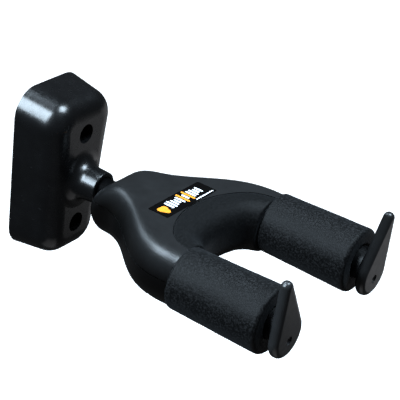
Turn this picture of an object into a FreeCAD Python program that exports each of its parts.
import FreeCAD, Part
import math
import os

# Wall guitar hanger with a self-aligning yoke, in millimetres.
# X is the width, +Y points into the wall, the hanger stands out towards -Y, and +Z is up.
# The origin is on the wall plane, on the axis that the yoke swivels about.
# Distances called "out" are measured from the wall plane, so a point that is "out" has y = -out.

V = FreeCAD.Vector
UP = V(0, 0, 1)
ACROSS = V(1, 0, 0)
INWARD = V(0, 1, 0)
OUTWARD = V(0, -1, 0)

# ---- Base: drafted moulded block with rounded corners ----
BASE_WIDTH = 45.3
BASE_HEIGHT = 86.6
BASE_DEPTH = 25.0
BASE_CENTRE_Z = 0.7
BASE_TAPER = 2.7            # half-width gained at the top and lost at the bottom
BASE_CORNER_R = 13.4
BASE_DRAFT_SIDE = 2.6
BASE_DRAFT_TOP = 3.6
BASE_DRAFT_BOTTOM = 2.0
BASE_FRONT_EDGE_R = 10.4
BASE_WALL = 2.8
BASE_RIB = 1.8
BASE_RIB_PITCH = 14.0
BASE_RIBS_EACH_WAY = 3      # cross ribs above and below the middle one

# ---- Boss that carries the swivel ----
BOSS_MOUTH_OUT = 38.9
BOSS_MOUTH_R = 8.3
BOSS_ROOT_R = 9.9
BOSS_FLARE_R = 7.0
BOSS_RIM_R = 0.6
BOSS_RECESS_R = 6.6
BOSS_RECESS_OUT = 34.3
BOSS_BORE_R = 5.6

# ---- Wall screws and backing plate ----
WALL_HOLE_SPACING = 48.5
WALL_HOLE_R = 2.6
WALL_HEAD_R = 5.0
WALL_HEAD_DEPTH = 13.0
SCREW_TUBE_R = 7.0
PLATE_THICKNESS = 2.0
PLATE_MARGIN = 1.6          # width of the shell's edge left showing round the plate
PLATE_SCREW_X = 13.5
PLATE_SCREW_Z = 31.0
PLATE_SCREW_R = 1.4
PLATE_SCREW_LENGTH = 9.0
PLATE_SCREW_HEAD_R = 2.7
PLATE_SCREW_HEAD_HEIGHT = 1.4
PLATE_BOSS_R = 3.4

# ---- Swivel: post, bushes, washers, spring and nut, in order from the wall ----
POST_R = 4.0
POST_REAR_OUT = 3.0
POST_FRONT_OUT = 65.5
POST_CHAMFER = 0.8
RUNNING_CLEARANCE = 0.05
POCKET_R = 10.0
NUT_ACROSS_FLATS = 13.0
NUT_REAR_OUT = 3.6
NUT_HEIGHT = 7.6
NUT_COLLAR_R = 6.1
NUT_COLLAR_HEIGHT = 1.9
SPRING_HEIGHT = 1.5
SPRING_THICKNESS = 0.8
SPRING_R = 8.0
REAR_WASHER_THICKNESS = 1.4
REAR_WASHER_R = 8.4
WASHER_BORE_R = 4.2
FLANGE_THICKNESS = 1.0
REAR_FLANGE_R = 8.6
BUSH_LENGTH = 9.0
FRONT_FLANGE_R = 6.4
THRUST_WASHER_THICKNESS = 1.0
THRUST_WASHER_R = 6.2

# ---- Yoke head and shoulders ----
YOKE_HALF_HEIGHT = 13.5
HEAD_HALF_WIDTH = 19.2
ARM_HALF_WIDTH = 51.6       # outer side of an arm where its foam sleeve starts
NOSE_OUT = 43.5
NOSE_LENGTH_TOP = 17.0      # the nose is rounded over this length above
NOSE_LENGTH_BOTTOM = 8.5    # and over this length below
NOSE_CORNER_R = 5.5
NOSE_FACE_OUT = 44.6
NOSE_STEPS = [0.0, 0.8, 2.2, 4.5]  # sections behind the nose face, close together where it curves most
SHOULDER_START_OUT = 53.0
SHOULDER_POWER = 3.7
HEAD_EDGE_R = 9.6
ARM_EDGE_R = 12.8
ROUNDEST_EDGE = 0.94        # largest edge radius as a share of the half height
SKIN_START = 8.0            # first even section of the skin, behind the nose face
SKIN_PITCH = 5.0
HOLLOW_START = 6.0
HOLLOW_PITCH = 6.0
SEAM_OUT = 113.5
SHELL_WALL = 2.8
SHELL_RIB = 2.0
SHELL_RIB_PITCH = 12.0
PARTING_Z = 3.0
PARTING_GROOVE_HALF = 0.25
PARTING_GROOVE_DEPTH = 0.3

# ---- Crotch: seat of the foam pad in the shells, and the pad's own inner side ----
SEAT_HALF_WIDTH = 36.5
SEAT_OUT = 89.8
SEAT_MIDDLE_R = 50.0
SEAT_CORNER_R = 20.0
PAD_HALF_WIDTH = 22.7
PAD_OUT = 107.5
PAD_MIDDLE_R = 60.0
PAD_CORNER_R = 10.0
PAD_HALF_HEIGHT = 13.5
PAD_EDGE_R = 10.5

# ---- Steel inside the yoke ----
SPACER_R = 5.8
HUB_WIDTH = 18.0
HUB_HEIGHT = 16.0
HUB_REAR_OUT = 55.0
HUB_FRONT_OUT = 78.0
HUB_CHAMFER = 1.0
PIN_R = 1.5
PIN_OUT = 60.5
ROD_R = 4.0
ROD_BEND_R = 27.0
ROD_CROSS_OUT = 71.5
ROD_SOCKET_DEPTH = 1.8      # the rod's ends stand this far into the end stops

# ---- Prongs: core tubes, foam sleeves and end stops ----
PRONG_SPACING = 75.4
CORE_R = 8.0
CORE_START_OUT = 96.0
SLEEVE_R_START = 15.0
SLEEVE_R_END = 16.05
SLEEVE_END_OUT = 161.5
SLEEVE_END_R = 1.8
SLEEVE_START_R = 1.2
STOP_FRONT_OUT = 170.5
STOP_THICKNESS = 5.2
STOP_DISC_R = 10.9
STOP_DISC_Z = -3.6
STOP_TIP_R = 2.8
STOP_TIP_Z = 23.5
STOP_TIP_LEAN = 7.0
STOP_EDGE_R = 2.4
STOP_SCREW_Z = -5.6
STOP_SCREW_R = 1.2
STOP_SCREW_LENGTH = 16.0
STOP_SCREW_HEAD_R = 2.2
STOP_SCREW_HEAD_HEIGHT = 1.6
STOP_SCREW_SUNK = 0.6
STOP_SCREW_RECESS = 1.2     # half width of the cross recess
STOP_SCREW_BLADE = 0.3      # half thickness of its blades
STOP_SCREW_RECESS_DEPTH = 0.8

# ---- Screws that join the two shells, as (distance from the middle, distance out) ----
SHELL_SCREWS = [(12.6, 61.0), (22.0, 86.8), (45.0, 103.0)]
SHELL_SCREW_R = 1.4
SHELL_SCREW_HEAD_R = 2.7
SHELL_SCREW_HEAD_HEIGHT = 1.8
SHELL_SCREW_SEAT_Z = -6.5
SHELL_SCREW_TIP_Z = 9.5
SHELL_BOSS_R = 3.4
SHELL_SLOT_HALF = 0.4       # half width of the driver slot
SHELL_SLOT_DEPTH = 0.9

# ---- Label plate on the top face ----
LABEL_LENGTH = 40.2
LABEL_WIDTH = 11.3
LABEL_CENTRE_OUT = 84.1
LABEL_THICKNESS = 0.6
LABEL_RECESS = 0.45
LABEL_CORNER_R = 0.6

# ---- Margins for cutting through and for picking edges ----
OVERSHOOT = 2.0
EDGE_TOLERANCE = 0.01
ROOT_BAND_REAR = 3.0        # the boss's root edges lie within this band of the front face
ROOT_BAND_FRONT = 0.5
ROOT_REACH = 12.0

# ---- Values that follow from the ones above ----
PRONG_X = PRONG_SPACING / 2
STOP_REAR_OUT = STOP_FRONT_OUT - STOP_THICKNESS
ROD_END_OUT = STOP_REAR_OUT + ROD_SOCKET_DEPTH
STOP_SCREW_HEAD_OUT = STOP_FRONT_OUT - STOP_SCREW_SUNK
STOP_SCREW_SEAT_OUT = STOP_SCREW_HEAD_OUT - STOP_SCREW_HEAD_HEIGHT
NUT_FRONT_OUT = NUT_REAR_OUT + NUT_HEIGHT
SPRING_FRONT_OUT = NUT_FRONT_OUT + SPRING_HEIGHT
REAR_WASHER_FRONT_OUT = SPRING_FRONT_OUT + REAR_WASHER_THICKNESS
REAR_FLANGE_OUT = REAR_WASHER_FRONT_OUT + RUNNING_CLEARANCE
POCKET_FLOOR_OUT = REAR_FLANGE_OUT + FLANGE_THICKNESS
FRONT_FLANGE_OUT = BOSS_RECESS_OUT + FLANGE_THICKNESS
THRUST_REAR_OUT = FRONT_FLANGE_OUT + RUNNING_CLEARANCE
SPACER_REAR_OUT = THRUST_REAR_OUT + THRUST_WASHER_THICKNESS


# ---- Helpers ----

def at(x, out, z):
    return V(x, -out, z)


def cylinder(radius, out_start, out_end, x=0.0, z=0.0):
    """Cylinder along Y between two distances out from the wall."""
    return Part.makeCylinder(radius, out_end - out_start, at(x, out_start, z), OUTWARD)


def tube(radius, bore, out_start, out_end, x=0.0, z=0.0):
    return cylinder(radius, out_start, out_end, x, z).cut(cylinder(bore, out_start, out_end, x, z))


def upright(radius, z_start, z_end, x, out):
    return Part.makeCylinder(radius, z_end - z_start, at(x, out, z_start), UP)


def box(x_start, x_end, out_start, out_end, z_start, z_end):
    corner = at(x_start, out_end, z_start)
    return Part.makeBox(x_end - x_start, out_end - out_start, z_end - z_start, corner)


def joined(solids):
    whole = solids[0]
    for solid in solids[1:]:
        whole = whole.fuse(solid)
    return whole.removeSplitter()


def rounded_wire(corners, radius):
    """Closed wire through the corners, each turned by an arc of the same radius."""
    edges = []
    starts = []
    ends = []
    middles = []
    count = len(corners)
    for i in range(count):
        corner = corners[i]
        back = (corners[i - 1] - corner).normalize()
        ahead = (corners[(i + 1) % count] - corner).normalize()
        half = back.getAngle(ahead) / 2
        run = radius / math.tan(half)
        centre = corner + (back + ahead).normalize() * (radius / math.sin(half))
        starts.append(corner + back * run)
        ends.append(corner + ahead * run)
        middles.append(centre + (corner - centre).normalize() * radius)
    for i in range(count):
        following = (i + 1) % count
        edges.append(Part.Arc(starts[i], middles[i], ends[i]).toShape())
        edges.append(Part.LineSegment(ends[i], starts[following]).toShape())
    return Part.Wire(edges)


def revolved(profile):
    """Solid of revolution about the swivel axis from (radius, out) points."""
    points = [at(radius, out, 0) for radius, out in profile]
    face = Part.Face(Part.makePolygon(points + points[:1]))
    return face.revolve(V(0, 0, 0), INWARD, 360)


def edges_at_out(solid, out):
    found = []
    for edge in solid.Edges:
        if all(abs(vertex.Point.y + out) < EDGE_TOLERANCE for vertex in edge.Vertexes):
            found.append(edge)
    return found


def mirrored(shape):
    return shape.mirror(V(0, 0, 0), ACROSS)


# ---- Base ----

def base_outline(inset, share_of_depth, out):
    """Rounded four-sided outline of the base, drafted in proportion to its distance out."""
    top = BASE_CENTRE_Z + BASE_HEIGHT / 2 - inset - BASE_DRAFT_TOP * share_of_depth
    bottom = BASE_CENTRE_Z - BASE_HEIGHT / 2 + inset + BASE_DRAFT_BOTTOM * share_of_depth
    half = BASE_WIDTH / 2 - inset - BASE_DRAFT_SIDE * share_of_depth
    wide = half + BASE_TAPER
    narrow = half - BASE_TAPER
    corners = [at(-wide, out, top), at(wide, out, top), at(narrow, out, bottom), at(-narrow, out, bottom)]
    return rounded_wire(corners, BASE_CORNER_R - inset)


def base_block(inset, rear_out):
    """Drafted block from rear_out to its front face, set in by the same amount all round."""
    front_out = BASE_DEPTH - inset
    rear = base_outline(inset, rear_out / BASE_DEPTH, rear_out)
    front = base_outline(inset, front_out / BASE_DEPTH, front_out)
    block = Part.makeLoft([rear, front], True, True)
    return block.makeFillet(BASE_FRONT_EDGE_R - inset, edges_at_out(block, front_out))


def boss():
    """Tapered boss that runs into the front face."""
    length = BOSS_MOUTH_OUT - BASE_WALL
    return Part.makeCone(BOSS_ROOT_R, BOSS_MOUTH_R, length, at(0, BASE_WALL, 0), OUTWARD)


def base_body():
    """Outer skin of the base with the boss blended in by a concave fillet."""
    body = base_block(0.0, 0.0).fuse(boss())
    root_edges = []
    for edge in body.Edges:
        bounds = edge.BoundBox
        near_axis = max(abs(bounds.XMin), abs(bounds.XMax), abs(bounds.ZMin), abs(bounds.ZMax)) < ROOT_REACH
        on_face = -BASE_DEPTH - ROOT_BAND_FRONT < bounds.YMin and bounds.YMax < -BASE_DEPTH + ROOT_BAND_REAR
        if near_axis and on_face:
            root_edges.append(edge)
    body = body.makeFillet(BOSS_FLARE_R, root_edges)
    return body.makeFillet(BOSS_RIM_R, edges_at_out(body, BOSS_MOUTH_OUT))


def base_cavity():
    """Space behind the skin, left open to the backing plate, without the ribs and tubes."""
    cavity = base_block(BASE_WALL, PLATE_THICKNESS)
    ribs = []
    reach = BASE_HEIGHT
    for side in (-1, 1):
        x = side * BASE_RIB_PITCH / 2
        ribs.append(box(x - BASE_RIB / 2, x + BASE_RIB / 2, 0, BASE_DEPTH, -reach, reach))
    for step in range(-BASE_RIBS_EACH_WAY, BASE_RIBS_EACH_WAY + 1):
        z = BASE_CENTRE_Z + step * BASE_RIB_PITCH
        ribs.append(box(-reach, reach, 0, BASE_DEPTH, z - BASE_RIB / 2, z + BASE_RIB / 2))
    for z in (-WALL_HOLE_SPACING / 2, WALL_HOLE_SPACING / 2):
        ribs.append(cylinder(SCREW_TUBE_R, 0, BASE_DEPTH, 0, z))
    ribs.append(cylinder(POCKET_R + BASE_WALL, 0, BASE_DEPTH))
    for x, z in plate_screw_places():
        ribs.append(cylinder(PLATE_BOSS_R, 0, BASE_DEPTH, x, z))
    return cavity.cut(ribs)


def plate_screw_places():
    places = []
    for z_side in (-1, 1):
        for x_side in (-1, 1):
            places.append((x_side * PLATE_SCREW_X, BASE_CENTRE_Z + z_side * PLATE_SCREW_Z))
    return places


def plate_outline(inset, out):
    return Part.Face(base_outline(inset, 0.0, out))


def backing_plate():
    plate = plate_outline(PLATE_MARGIN, 0.0).extrude(OUTWARD * PLATE_THICKNESS)
    for z in (-WALL_HOLE_SPACING / 2, WALL_HOLE_SPACING / 2):
        plate = plate.cut(cylinder(WALL_HOLE_R, 0, PLATE_THICKNESS, 0, z))
    plate = plate.cut(cylinder(POCKET_R, 0, PLATE_THICKNESS))
    return plate.cut(plate_screws())


def plate_screws():
    """Four countersunk screws that hold the backing plate, flush with its rear face."""
    screws = []
    for x, z in plate_screw_places():
        head = Part.makeCone(PLATE_SCREW_HEAD_R, PLATE_SCREW_R, PLATE_SCREW_HEAD_HEIGHT, at(x, 0, z), OUTWARD)
        shank = cylinder(PLATE_SCREW_R, PLATE_SCREW_HEAD_HEIGHT, PLATE_SCREW_LENGTH, x, z)
        screws.append(head.fuse(shank))
    return Part.makeCompound(screws)


def base_shell():
    shell = base_body().cut(base_cavity())
    plate_seat = plate_outline(PLATE_MARGIN, 0.0).extrude(OUTWARD * PLATE_THICKNESS)
    cuts = [plate_seat, plate_screws()]
    for z in (-WALL_HOLE_SPACING / 2, WALL_HOLE_SPACING / 2):
        cuts.append(cylinder(WALL_HOLE_R, 0, BASE_DEPTH, 0, z))
        cuts.append(cylinder(WALL_HEAD_R, BASE_DEPTH - WALL_HEAD_DEPTH, BASE_DEPTH + OVERSHOOT, 0, z))
    cuts.append(cylinder(POCKET_R, 0, POCKET_FLOOR_OUT))
    cuts.append(cylinder(BOSS_BORE_R, 0, BOSS_MOUTH_OUT))
    cuts.append(cylinder(BOSS_RECESS_R, BOSS_RECESS_OUT, BOSS_MOUTH_OUT + OVERSHOOT))
    return shell.cut(cuts)


# ---- Swivel ----

def swivel_post():
    post = cylinder(POST_R, POST_REAR_OUT, POST_FRONT_OUT)
    post = post.makeChamfer(POST_CHAMFER, edges_at_out(post, POST_REAR_OUT))
    return post.cut(post_pin())


def post_pin():
    return upright(PIN_R, -HUB_HEIGHT / 2, HUB_HEIGHT / 2, 0, PIN_OUT)


def lock_nut():
    """Hexagonal nut with the plain collar of its locking insert on the wall side."""
    corner_r = NUT_ACROSS_FLATS / math.sqrt(3)
    collar_front = NUT_REAR_OUT + NUT_COLLAR_HEIGHT
    points = []
    for step in range(6):
        angle = math.radians(60 * step + 30)
        points.append(at(corner_r * math.cos(angle), collar_front, corner_r * math.sin(angle)))
    prism = Part.Face(Part.makePolygon(points + points[:1])).extrude(OUTWARD * (NUT_FRONT_OUT - collar_front))
    collar = cylinder(NUT_COLLAR_R, NUT_REAR_OUT, collar_front)
    return prism.fuse(collar).cut(cylinder(POST_R, NUT_REAR_OUT, NUT_FRONT_OUT))


def disc_spring():
    """Conical spring washer: its inner rim is on the nut, its outer rim on the washer."""
    low = NUT_FRONT_OUT
    high = SPRING_FRONT_OUT
    profile = [
        (WASHER_BORE_R, low),
        (SPRING_R, high - SPRING_THICKNESS),
        (SPRING_R, high),
        (WASHER_BORE_R, low + SPRING_THICKNESS),
    ]
    return revolved(profile)


def rear_washer():
    return tube(REAR_WASHER_R, WASHER_BORE_R, SPRING_FRONT_OUT, REAR_WASHER_FRONT_OUT)


def bush(flange_r, flange_start, sleeve_start, sleeve_end):
    """Flanged plain bearing for the post."""
    sleeve = cylinder(BOSS_BORE_R, sleeve_start, sleeve_end)
    flange = cylinder(flange_r, flange_start, flange_start + FLANGE_THICKNESS)
    return sleeve.fuse(flange).cut(cylinder(POST_R + RUNNING_CLEARANCE, 0, BOSS_MOUTH_OUT))


def rear_bush():
    return bush(REAR_FLANGE_R, REAR_FLANGE_OUT, POCKET_FLOOR_OUT, POCKET_FLOOR_OUT + BUSH_LENGTH)


def front_bush():
    return bush(FRONT_FLANGE_R, BOSS_RECESS_OUT, BOSS_RECESS_OUT - BUSH_LENGTH, BOSS_RECESS_OUT)


def thrust_washer():
    return tube(THRUST_WASHER_R, WASHER_BORE_R, THRUST_REAR_OUT, SPACER_REAR_OUT)


def neck_spacer():
    return tube(SPACER_R, POST_R, SPACER_REAR_OUT, HUB_REAR_OUT)


# ---- Steel frame of the yoke ----

def rod_path():
    """U-shaped centre line: along one prong, round two bends, and back along the other."""
    bend_x = PRONG_X - ROD_BEND_R
    bend_out = ROD_CROSS_OUT + ROD_BEND_R
    diagonal = ROD_BEND_R / math.sqrt(2)
    left_end = at(-PRONG_X, ROD_END_OUT, 0)
    left_bend = at(-PRONG_X, bend_out, 0)
    left_middle = at(-bend_x - diagonal, bend_out - diagonal, 0)
    left_cross = at(-bend_x, ROD_CROSS_OUT, 0)
    right_cross = at(bend_x, ROD_CROSS_OUT, 0)
    right_middle = at(bend_x + diagonal, bend_out - diagonal, 0)
    right_bend = at(PRONG_X, bend_out, 0)
    right_end = at(PRONG_X, ROD_END_OUT, 0)
    return Part.Wire([
        Part.LineSegment(left_end, left_bend).toShape(),
        Part.Arc(left_bend, left_middle, left_cross).toShape(),
        Part.LineSegment(left_cross, right_cross).toShape(),
        Part.Arc(right_cross, right_middle, right_bend).toShape(),
        Part.LineSegment(right_bend, right_end).toShape(),
    ])


def frame_rod():
    section = Part.Wire([Part.Circle(at(-PRONG_X, ROD_END_OUT, 0), INWARD, ROD_R).toShape()])
    return rod_path().makePipeShell([section], True, False)


def hub_block():
    half_width = HUB_WIDTH / 2
    half_height = HUB_HEIGHT / 2
    block = box(-half_width, half_width, HUB_REAR_OUT, HUB_FRONT_OUT, -half_height, half_height)
    long_edges = []
    for edge in block.Edges:
        if abs(edge.tangentAt(0).y) > 0.9:
            long_edges.append(edge)
    block = block.makeChamfer(HUB_CHAMFER, long_edges)
    cross_bore = Part.makeCylinder(ROD_R, HUB_WIDTH, at(-half_width, ROD_CROSS_OUT, 0), ACROSS)
    return block.cut([cross_bore, cylinder(POST_R, HUB_REAR_OUT, POST_FRONT_OUT), post_pin()])


# ---- Shells of the yoke ----

def shoulder_share(out):
    """0 at the head and 1 at the foam seam, rising fast and then levelling off."""
    share = (out - SHOULDER_START_OUT) / (SEAM_OUT - SHOULDER_START_OUT)
    share = max(share, 0.0)
    return 1 - (1 - share * share) ** SHOULDER_POWER


def nose_share(out, length):
    """Share of the full half height that the nose has reached, along a quarter ellipse."""
    left = max(NOSE_OUT + length - out, 0.0) / length
    return math.sqrt(1 - left * left)


def yoke_section(out, inset):
    """Rounded rectangle across the yoke at one distance out, set in all round."""
    share = shoulder_share(out)
    half_width = HEAD_HALF_WIDTH + (ARM_HALF_WIDTH - HEAD_HALF_WIDTH) * share
    above = YOKE_HALF_HEIGHT * nose_share(out, NOSE_LENGTH_TOP)
    below = YOKE_HALF_HEIGHT * nose_share(out, NOSE_LENGTH_BOTTOM)
    corner = NOSE_OUT + NOSE_CORNER_R - out
    if corner > 0:
        half_width = half_width - NOSE_CORNER_R + math.sqrt(NOSE_CORNER_R ** 2 - corner ** 2)
    radius = min(HEAD_EDGE_R + (ARM_EDGE_R - HEAD_EDGE_R) * share, ROUNDEST_EDGE * (above + below) / 2)
    half_width = half_width - inset
    top = above - inset
    bottom = inset - below
    corners = [
        at(-half_width, out, top),
        at(half_width, out, top),
        at(half_width, out, bottom),
        at(-half_width, out, bottom),
    ]
    return rounded_wire(corners, radius - inset)


def section_places(start, end, pitch):
    steps = math.ceil((end - start) / pitch)
    places = []
    for step in range(steps + 1):
        places.append(start + (end - start) * step / steps)
    return places


def yoke_skin(inset):
    nose_places = [NOSE_FACE_OUT + step for step in NOSE_STEPS]
    places = nose_places + section_places(NOSE_FACE_OUT + SKIN_START, SEAM_OUT, SKIN_PITCH)
    return Part.makeLoft([yoke_section(out, inset) for out in places], True, False)


def parting_groove():
    """Thin band round the skin where the two shells meet."""
    wide = 2 * ARM_HALF_WIDTH
    low = PARTING_Z - PARTING_GROOVE_HALF
    high = PARTING_Z + PARTING_GROOVE_HALF
    return box(-wide, wide, NOSE_FACE_OUT, SEAM_OUT, low, high).cut(yoke_skin(PARTING_GROOVE_DEPTH))


def u_outline(half_width, floor_out, middle_r, corner_r, front_out):
    """Face of a U-shaped bay, open towards the front: a wide arc, two corner arcs and two sides."""
    corner_x = half_width - corner_r
    middle_out = floor_out + middle_r
    corner_out = middle_out - math.sqrt((middle_r - corner_r) ** 2 - corner_x ** 2)
    reach = middle_r / (middle_r - corner_r)
    join_x = corner_x * reach
    join_out = middle_out + (corner_out - middle_out) * reach
    side_out = max(front_out, corner_out) + OVERSHOOT
    turn = math.atan2(corner_x, middle_out - corner_out) / 2 + math.pi / 4
    mid_x = corner_x + corner_r * math.sin(turn)
    mid_out = corner_out - corner_r * math.cos(turn)
    left_side = at(-half_width, corner_out, 0)
    right_side = at(half_width, corner_out, 0)
    left_join = at(-join_x, join_out, 0)
    right_join = at(join_x, join_out, 0)
    edges = [
        Part.Arc(left_side, at(-mid_x, mid_out, 0), left_join).toShape(),
        Part.Arc(left_join, at(0, floor_out, 0), right_join).toShape(),
        Part.Arc(right_join, at(mid_x, mid_out, 0), right_side).toShape(),
    ]
    front_left = at(-half_width, side_out, 0)
    front_right = at(half_width, side_out, 0)
    edges.append(Part.LineSegment(right_side, front_right).toShape())
    edges.append(Part.LineSegment(front_right, front_left).toShape())
    edges.append(Part.LineSegment(front_left, left_side).toShape())
    return Part.Face(Part.Wire(edges))


def bay(half_width, floor_out, middle_r, corner_r, half_height):
    face = u_outline(half_width, floor_out, middle_r, corner_r, SEAM_OUT)
    face.translate(V(0, 0, -half_height))
    return face.extrude(UP * (2 * half_height))


def pad_seat(wall):
    """Space of the crotch pad in the shells, or with a wall added round it."""
    tall = YOKE_HALF_HEIGHT + OVERSHOOT
    return bay(SEAT_HALF_WIDTH + wall, SEAT_OUT - wall, SEAT_MIDDLE_R, SEAT_CORNER_R + wall, tall)


def arm_cores():
    """Round cores of the shells that carry the frame rod out of the yoke."""
    return [cylinder(CORE_R, CORE_START_OUT, SEAM_OUT, side * PRONG_X) for side in (-1, 1)]


def shell_screw_places():
    places = []
    for x, out in SHELL_SCREWS:
        places.append((x, out))
        places.append((-x, out))
    return places


def shell_cavity():
    """Hollow of the yoke, without its crotch wall, cores, ribs and screw bosses."""
    places = section_places(NOSE_FACE_OUT + HOLLOW_START, SEAM_OUT - SHELL_WALL, HOLLOW_PITCH)
    cavity = Part.makeLoft([yoke_section(out, SHELL_WALL) for out in places], True, False)
    kept = [pad_seat(SHELL_WALL)] + arm_cores()
    for x, out in shell_screw_places():
        kept.append(upright(SHELL_BOSS_R, -YOKE_HALF_HEIGHT, YOKE_HALF_HEIGHT, x, out))
    wide = ARM_HALF_WIDTH
    tall = YOKE_HALF_HEIGHT
    rib_out = HUB_REAR_OUT
    while rib_out < SEAM_OUT - SHELL_RIB_PITCH / 2:
        kept.append(box(-wide, wide, rib_out, rib_out + SHELL_RIB, -tall, tall))
        rib_out = rib_out + SHELL_RIB_PITCH
    return cavity.cut(kept)


def shell_screws():
    """Screws driven up through the lower shell into the upper one."""
    screws = []
    head_z = SHELL_SCREW_SEAT_Z - SHELL_SCREW_HEAD_HEIGHT
    for x, out in shell_screw_places():
        head = upright(SHELL_SCREW_HEAD_R, head_z, SHELL_SCREW_SEAT_Z, x, out)
        shank = upright(SHELL_SCREW_R, SHELL_SCREW_SEAT_Z, SHELL_SCREW_TIP_Z, x, out)
        slot = box(x - SHELL_SCREW_HEAD_R, x + SHELL_SCREW_HEAD_R,
                   out - SHELL_SLOT_HALF, out + SHELL_SLOT_HALF, head_z, head_z + SHELL_SLOT_DEPTH)
        screws.append(head.fuse(shank).cut(slot))
    return Part.makeCompound(screws)


def label_block(start_z, thickness):
    half_length = LABEL_LENGTH / 2
    half_width = LABEL_WIDTH / 2
    corners = [
        at(-half_length, LABEL_CENTRE_OUT - half_width, start_z),
        at(half_length, LABEL_CENTRE_OUT - half_width, start_z),
        at(half_length, LABEL_CENTRE_OUT + half_width, start_z),
        at(-half_length, LABEL_CENTRE_OUT + half_width, start_z),
    ]
    return Part.Face(rounded_wire(corners, LABEL_CORNER_R)).extrude(UP * thickness)


def label_plate():
    return label_block(YOKE_HALF_HEIGHT - LABEL_RECESS, LABEL_THICKNESS)


def both_shells():
    """The yoke's plastic as one solid, before it is split at the parting plane."""
    body = yoke_skin(0.0).cut([pad_seat(0.0), parting_groove()])
    body = joined([body] + arm_cores())
    screw_ways = []
    tall = YOKE_HALF_HEIGHT + OVERSHOOT
    for x, out in shell_screw_places():
        head_z = SHELL_SCREW_SEAT_Z - SHELL_SCREW_HEAD_HEIGHT
        screw_ways.append(upright(SHELL_SCREW_HEAD_R, -tall, SHELL_SCREW_SEAT_Z, x, out))
        screw_ways.append(upright(SHELL_SCREW_R, head_z, SHELL_SCREW_TIP_Z, x, out))
    half_width = HUB_WIDTH / 2
    half_height = HUB_HEIGHT / 2
    hub_pocket = box(-half_width, half_width, HUB_REAR_OUT, HUB_FRONT_OUT, -half_height, half_height)
    neck_way = cylinder(SPACER_R, NOSE_OUT, HUB_REAR_OUT)
    label_seat = label_block(YOKE_HALF_HEIGHT - LABEL_RECESS, OVERSHOOT)
    body = body.cut(shell_cavity())
    return body.cut([frame_rod(), hub_pocket, neck_way, label_seat] + screw_ways)


def largest(shape):
    return max(shape.Solids, key=lambda solid: solid.Volume)


def upper_shell(body):
    wide = 2 * ARM_HALF_WIDTH
    return largest(body.common(box(-wide, wide, 0, STOP_FRONT_OUT, PARTING_Z, wide)))


def lower_shell(body):
    wide = 2 * ARM_HALF_WIDTH
    return largest(body.common(box(-wide, wide, 0, STOP_FRONT_OUT, -wide, PARTING_Z)))


# ---- Foam ----

def crotch_pad():
    """Foam lining of the U: its seat side follows the shells, its free side is well rounded."""
    tall = PAD_HALF_HEIGHT
    pad = bay(SEAT_HALF_WIDTH, SEAT_OUT, SEAT_MIDDLE_R, SEAT_CORNER_R, tall)
    gap = bay(PAD_HALF_WIDTH, PAD_OUT, PAD_MIDDLE_R, PAD_CORNER_R, tall + OVERSHOOT)
    wide = 2 * ARM_HALF_WIDTH
    pad = pad.cut(gap).common(box(-wide, wide, 0, SEAM_OUT, -tall, tall))
    inner_edges = []
    for edge in pad.Edges:
        bounds = edge.BoundBox
        on_rim = abs(abs(bounds.ZMin) - tall) < EDGE_TOLERANCE and bounds.ZLength < EDGE_TOLERANCE
        on_gap = -bounds.YMax > PAD_OUT - OVERSHOOT and -bounds.YMin < SEAM_OUT + OVERSHOOT
        if on_rim and on_gap and max(abs(bounds.XMin), abs(bounds.XMax)) < PAD_HALF_WIDTH:
            inner_edges.append(edge)
    pad = pad.makeFillet(PAD_EDGE_R, inner_edges)
    return pad.cut(arm_cores())


def foam_sleeve():
    """Slightly tapered foam tube with a rounded front end."""
    length = SLEEVE_END_OUT - SEAM_OUT
    sleeve = Part.makeCone(SLEEVE_R_START, SLEEVE_R_END, length, at(PRONG_X, SEAM_OUT, 0), OUTWARD)
    sleeve = sleeve.makeFillet(SLEEVE_END_R, edges_at_out(sleeve, SLEEVE_END_OUT))
    sleeve = sleeve.makeFillet(SLEEVE_START_R, edges_at_out(sleeve, SEAM_OUT))
    return sleeve.cut(cylinder(CORE_R, SEAM_OUT, SLEEVE_END_OUT, PRONG_X))


# ---- End of a prong ----

def core_tube():
    return tube(CORE_R, ROD_R, SEAM_OUT, STOP_REAR_OUT, PRONG_X).cut(stop_screw())


def stop_screw():
    """Self-tapping screw through the stop into the core tube's wall, its head sunk below the face."""
    z = STOP_SCREW_Z
    head_out = STOP_SCREW_HEAD_OUT
    seat_out = STOP_SCREW_SEAT_OUT
    head = cylinder(STOP_SCREW_HEAD_R, seat_out, head_out, PRONG_X, z)
    shank = cylinder(STOP_SCREW_R, head_out - STOP_SCREW_LENGTH, seat_out, PRONG_X, z)
    wide = STOP_SCREW_RECESS
    thin = STOP_SCREW_BLADE
    deep = head_out - STOP_SCREW_RECESS_DEPTH
    blade = box(PRONG_X - wide, PRONG_X + wide, deep, head_out, z - thin, z + thin)
    cross = box(PRONG_X - thin, PRONG_X + thin, deep, head_out, z - wide, z + wide)
    return head.fuse(shank).cut([blade, cross])


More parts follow.
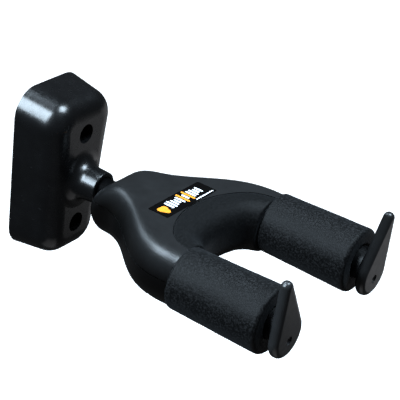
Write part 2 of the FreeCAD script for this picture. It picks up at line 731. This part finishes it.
def end_stop():
    """Teardrop plate: a disc on the prong and a small tip above, joined by tangent sides."""
    tip_x = PRONG_X + STOP_TIP_LEAN
    run = math.hypot(STOP_TIP_LEAN, STOP_TIP_Z - STOP_DISC_Z)
    heading = math.atan2(STOP_TIP_Z - STOP_DISC_Z, STOP_TIP_LEAN)
    spread = math.acos((STOP_DISC_R - STOP_TIP_R) / run)

    def on_disc(angle):
        return at(PRONG_X + STOP_DISC_R * math.cos(angle), STOP_REAR_OUT,
                  STOP_DISC_Z + STOP_DISC_R * math.sin(angle))

    def on_tip(angle):
        return at(tip_x + STOP_TIP_R * math.cos(angle), STOP_REAR_OUT,
                  STOP_TIP_Z + STOP_TIP_R * math.sin(angle))

    left = heading + spread
    right = heading - spread
    outline = Part.Wire([
        Part.Arc(on_disc(left), on_disc(heading + math.pi), on_disc(right)).toShape(),
        Part.LineSegment(on_disc(right), on_tip(right)).toShape(),
        Part.Arc(on_tip(right), on_tip(heading), on_tip(left)).toShape(),
        Part.LineSegment(on_tip(left), on_disc(left)).toShape(),
    ])
    plate = Part.Face(outline).extrude(OUTWARD * STOP_THICKNESS)
    rims = edges_at_out(plate, STOP_FRONT_OUT) + edges_at_out(plate, STOP_REAR_OUT)
    plate = plate.makeFillet(STOP_EDGE_R, rims)
    socket = cylinder(ROD_R, STOP_REAR_OUT, ROD_END_OUT, PRONG_X)
    head_way = cylinder(STOP_SCREW_HEAD_R, STOP_SCREW_SEAT_OUT, STOP_FRONT_OUT, PRONG_X, STOP_SCREW_Z)
    shank_way = cylinder(STOP_SCREW_R, STOP_REAR_OUT, STOP_SCREW_SEAT_OUT, PRONG_X, STOP_SCREW_Z)
    return plate.cut([socket, head_way, shank_way])


# ---- Nodes ----

def save(name, shape):
    shape.exportStep("parts/" + name + ".step")


def main():
    os.makedirs("parts", exist_ok=True)
    save("base_shell", base_shell())
    save("backing_plate", backing_plate())
    save("plate_screws", plate_screws())
    save("front_bush", front_bush())
    save("rear_bush", rear_bush())
    save("swivel_post", swivel_post())
    save("post_pin", post_pin())
    save("lock_nut", lock_nut())
    save("disc_spring", disc_spring())
    save("rear_washer", rear_washer())
    save("thrust_washer", thrust_washer())
    save("neck_spacer", neck_spacer())
    save("hub_block", hub_block())
    save("frame_rod", frame_rod())
    body = both_shells()
    save("upper_shell", upper_shell(body))
    save("lower_shell", lower_shell(body))
    save("shell_screws", shell_screws())
    save("label_plate", label_plate())
    save("crotch_pad", crotch_pad())
    paired = {
        "core_tube": core_tube(),
        "foam_sleeve": foam_sleeve(),
        "end_stop": end_stop(),
        "stop_screw": stop_screw(),
    }
    for name, right in paired.items():
        save(name + "_right", right)
        save(name + "_left", mirrored(right))


main()
